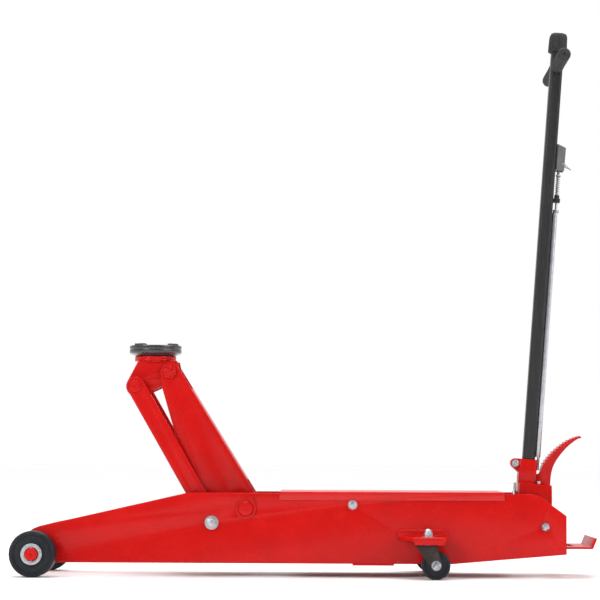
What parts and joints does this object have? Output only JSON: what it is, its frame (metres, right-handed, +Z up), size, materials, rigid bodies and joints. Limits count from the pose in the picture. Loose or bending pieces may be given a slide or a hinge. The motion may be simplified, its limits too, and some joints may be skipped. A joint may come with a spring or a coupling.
{
  "type": "hydraulic floor jack",
  "caption": "Long-chassis hydraulic service jack with wheels, swivel casters, parallel lift arm and links, swivelling saddle, foot pedal and T-bar pump handle.",
  "frame": {"origin": "on the floor, at the middle of the jack's length and width, with the lift arm raised", "axes": "+X along the chassis from the saddle end to the handle end, +Y across to the right of an operator at the handle who faces the saddle, +Z up"},
  "size_m": [1.404, 0.392, 1.3448],
  "materials": {
    "red_paint": "gloss red enamel over welded steel plate",
    "cover_paint": "gloss red enamel on folded sheet",
    "zinc_hardware": "bright zinc plate",
    "bare_steel": "oiled machined steel",
    "ram_chrome": "hard chrome",
    "spring_steel": "drawn spring wire",
    "saddle_black": "black coated casting",
    "wheel_black": "satin black moulded nylon",
    "fork_black": "satin black paint on pressed steel",
    "handle_black": "satin black powder coat",
    "housing_grey": "satin grey paint on pressed steel",
    "grip_rubber": "ribbed black rubber"
  },
  "bodies": {
    "chassis": {"side_plate_left": "red_paint", "side_plate_right": "red_paint", "nose_plate": "red_paint", "bottom_tie_plate": "red_paint", "top_cover": "cover_paint", "cover_bolts": "zinc_hardware", "tail_plate": "red_paint", "front_axle": "red_paint", "wheel_retainers": "zinc_hardware", "caster_bracket_left": "red_paint", "caster_bracket_right": "red_paint", "king_pins": "zinc_hardware", "arm_pivot_shaft": "red_paint", "pivot_lock_tabs": "red_paint", "pivot_spacers": "bare_steel", "link_bolts": "zinc_hardware", "yoke_pivot_bolt": "zinc_hardware", "pump_block": "red_paint", "cylinder_tube": "red_paint", "cylinder_head": "bare_steel", "valve_and_plugs": "zinc_hardware", "plunger_spring": "spring_steel"},
    "front_wheel_l": {"front_wheel_left": "wheel_black"},
    "front_wheel_r": {"front_wheel_right": "wheel_black"},
    "caster_l": {"caster_fork_left": "fork_black", "caster_axle_left": "zinc_hardware"},
    "caster_r": {"caster_fork_right": "fork_black", "caster_axle_right": "zinc_hardware"},
    "caster_wheel_l": {"caster_wheel_left": "wheel_black"},
    "caster_wheel_r": {"caster_wheel_right": "wheel_black"},
    "lift_arm": {"arm_plate_left": "red_paint", "arm_plate_right": "red_paint", "arm_back_plate": "red_paint", "arm_cross_tubes": "red_paint", "drive_pin": "bare_steel", "arm_tip_bolt": "red_paint"},
    "radius_links": {"radius_link_left": "red_paint", "radius_link_right": "red_paint"},
    "saddle_bracket": {"bracket_plate_left": "red_paint", "bracket_plate_right": "red_paint", "saddle_collar": "red_paint", "link_tip_pin": "red_paint"},
    "saddle": {"saddle": "saddle_black"},
    "ram": {"ram_rod": "ram_chrome", "drive_fork": "bare_steel"},
    "handle": {"yoke": "red_paint", "pump_cam": "bare_steel", "foot_pedal": "red_paint", "handle_socket": "red_paint", "socket_bolts": "zinc_hardware", "handle_tube": "handle_black", "cross_bar": "handle_black", "handle_grips": "grip_rubber", "end_knob": "grip_rubber", "lever_housing": "housing_grey", "rod_guide": "handle_black", "release_spring": "spring_steel"},
    "release_lever": {"release_lever": "zinc_hardware"},
    "release_rod": {"release_rod": "zinc_hardware"},
    "pump_plunger": {"pump_plunger": "bare_steel"}
  },
  "joints": [
    {"name": "front_wheel_left_spin", "type": "hinge", "parent": "chassis", "child": "front_wheel_l", "pos_m": [-0.647, -0.134, 0.055], "axis": [0, 1, 0], "continuous": true},
    {"name": "front_wheel_right_spin", "type": "hinge", "parent": "chassis", "child": "front_wheel_r", "pos_m": [-0.647, 0.134, 0.055], "axis": [0, 1, 0], "continuous": true},
    {"name": "caster_left_swivel", "type": "hinge", "parent": "chassis", "child": "caster_l", "pos_m": [0.294, -0.165, 0.081], "axis": [0, 0, 1], "continuous": true},
    {"name": "caster_right_swivel", "type": "hinge", "parent": "chassis", "child": "caster_r", "pos_m": [0.294, 0.165, 0.081], "axis": [0, 0, 1], "continuous": true},
    {"name": "caster_wheel_left_spin", "type": "hinge", "parent": "caster_l", "child": "caster_wheel_l", "pos_m": [0.312, -0.165, 0.034], "axis": [0, 1, 0], "continuous": true},
    {"name": "caster_wheel_right_spin", "type": "hinge", "parent": "caster_r", "child": "caster_wheel_r", "pos_m": [0.312, 0.165, 0.034], "axis": [0, 1, 0], "continuous": true},
    {"name": "lift_arm_raise", "type": "hinge", "parent": "chassis", "child": "lift_arm", "pos_m": [-0.1405, 0, 0.1635], "axis": [0, 1, 0], "range_deg": [-69.3, 0]},
    {"name": "radius_link_turn", "type": "hinge", "parent": "chassis", "child": "radius_links", "pos_m": [-0.2225, 0, 0.1295], "axis": [0, 1, 0], "range_deg": [-69.3, 0]},
    {"name": "bracket_level", "type": "hinge", "parent": "lift_arm", "child": "saddle_bracket", "pos_m": [-0.3305, 0, 0.49259], "axis": [0, 1, 0], "range_deg": [0, 69.3]},
    {"name": "saddle_swivel", "type": "hinge", "parent": "saddle_bracket", "child": "saddle", "pos_m": [-0.3705, 0, 0.49259], "axis": [0, 0, 1], "continuous": true},
    {"name": "ram_extend", "type": "slide", "parent": "chassis", "child": "ram", "axis": [-1, 0, 0], "range_m": [-0.09686, 0]},
    {"name": "handle_pump", "type": "hinge", "parent": "chassis", "child": "handle", "pos_m": [0.577, 0, 0.123], "axis": [0, 1, 0], "range_deg": [0, 75]},
    {"name": "plunger_stroke", "type": "slide", "parent": "chassis", "child": "pump_plunger", "axis": [-1, 0, 0], "range_m": [0, 0.0316], "deforming": ["plunger_spring"]},
    {"name": "release_rod_slide", "type": "slide", "parent": "handle", "child": "release_rod", "axis": [-0.0764, 0, -0.9971], "range_m": [0, 0.00415], "stiffness_N_per_m": 1500, "springref_m": -0.012, "deforming": ["release_spring"]},
    {"name": "release_lever_squeeze", "type": "hinge", "parent": "handle", "child": "release_lever", "pos_m": [0.63704, 0, 1.0142], "axis": [0, -1, 0], "range_deg": [0, 28.2]}
  ],
  "couplings": [
    {"joint": "radius_link_turn", "follows": "lift_arm_raise", "ratio": 1},
    {"joint": "bracket_level", "follows": "lift_arm_raise", "ratio": -1},
    {"joint": "ram_extend", "follows": "lift_arm_raise", "m_per_rad": 0.079913},
    {"joint": "plunger_stroke", "follows": "handle_pump", "m_per_rad": 0.024},
    {"joint": "release_lever_squeeze", "follows": "release_rod_slide", "rad_per_m": 117.65}
  ]
}
